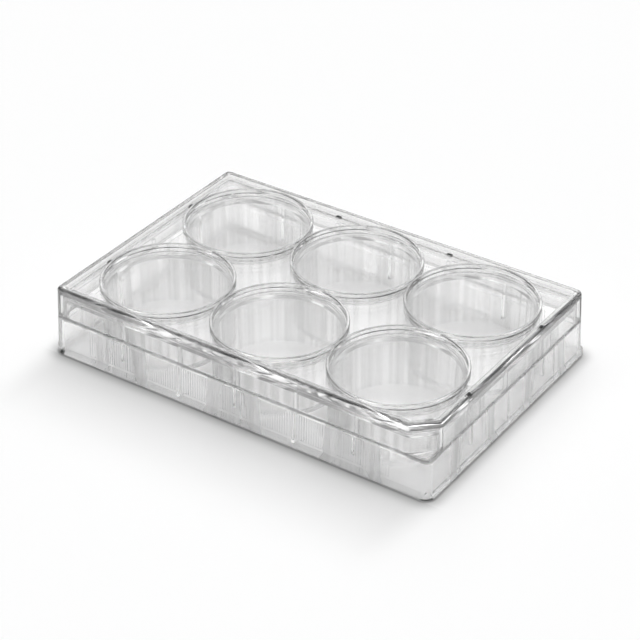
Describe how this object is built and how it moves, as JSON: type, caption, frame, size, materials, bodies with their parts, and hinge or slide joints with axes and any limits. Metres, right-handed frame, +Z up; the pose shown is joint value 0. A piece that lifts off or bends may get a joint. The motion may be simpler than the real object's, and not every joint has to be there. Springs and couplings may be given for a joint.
{
  "type": "lidded cell culture well plate",
  "caption": "Clear moulded culture plate with round flat-bottomed wells, a hollow skirted base and a loose lid with raised rings and one cut corner.",
  "frame": {"origin": "on the resting plane, under the middle of the rectangular footprint", "axes": "+X along the long side, towards the cut corner's end; +Y along the short side, away from the cut corner; +Z up out of the wells' mouths"},
  "size_m": [0.1278, 0.0854, 0.022],
  "materials": {
    "tray_plastic": "clear colourless moulded polystyrene, glossy inside and out",
    "lid_plastic": "clear colourless moulded polystyrene, glossy"
  },
  "bodies": {
    "root": {"well_tray": "tray_plastic", "lid": "lid_plastic"}
  },
  "joints": []
}
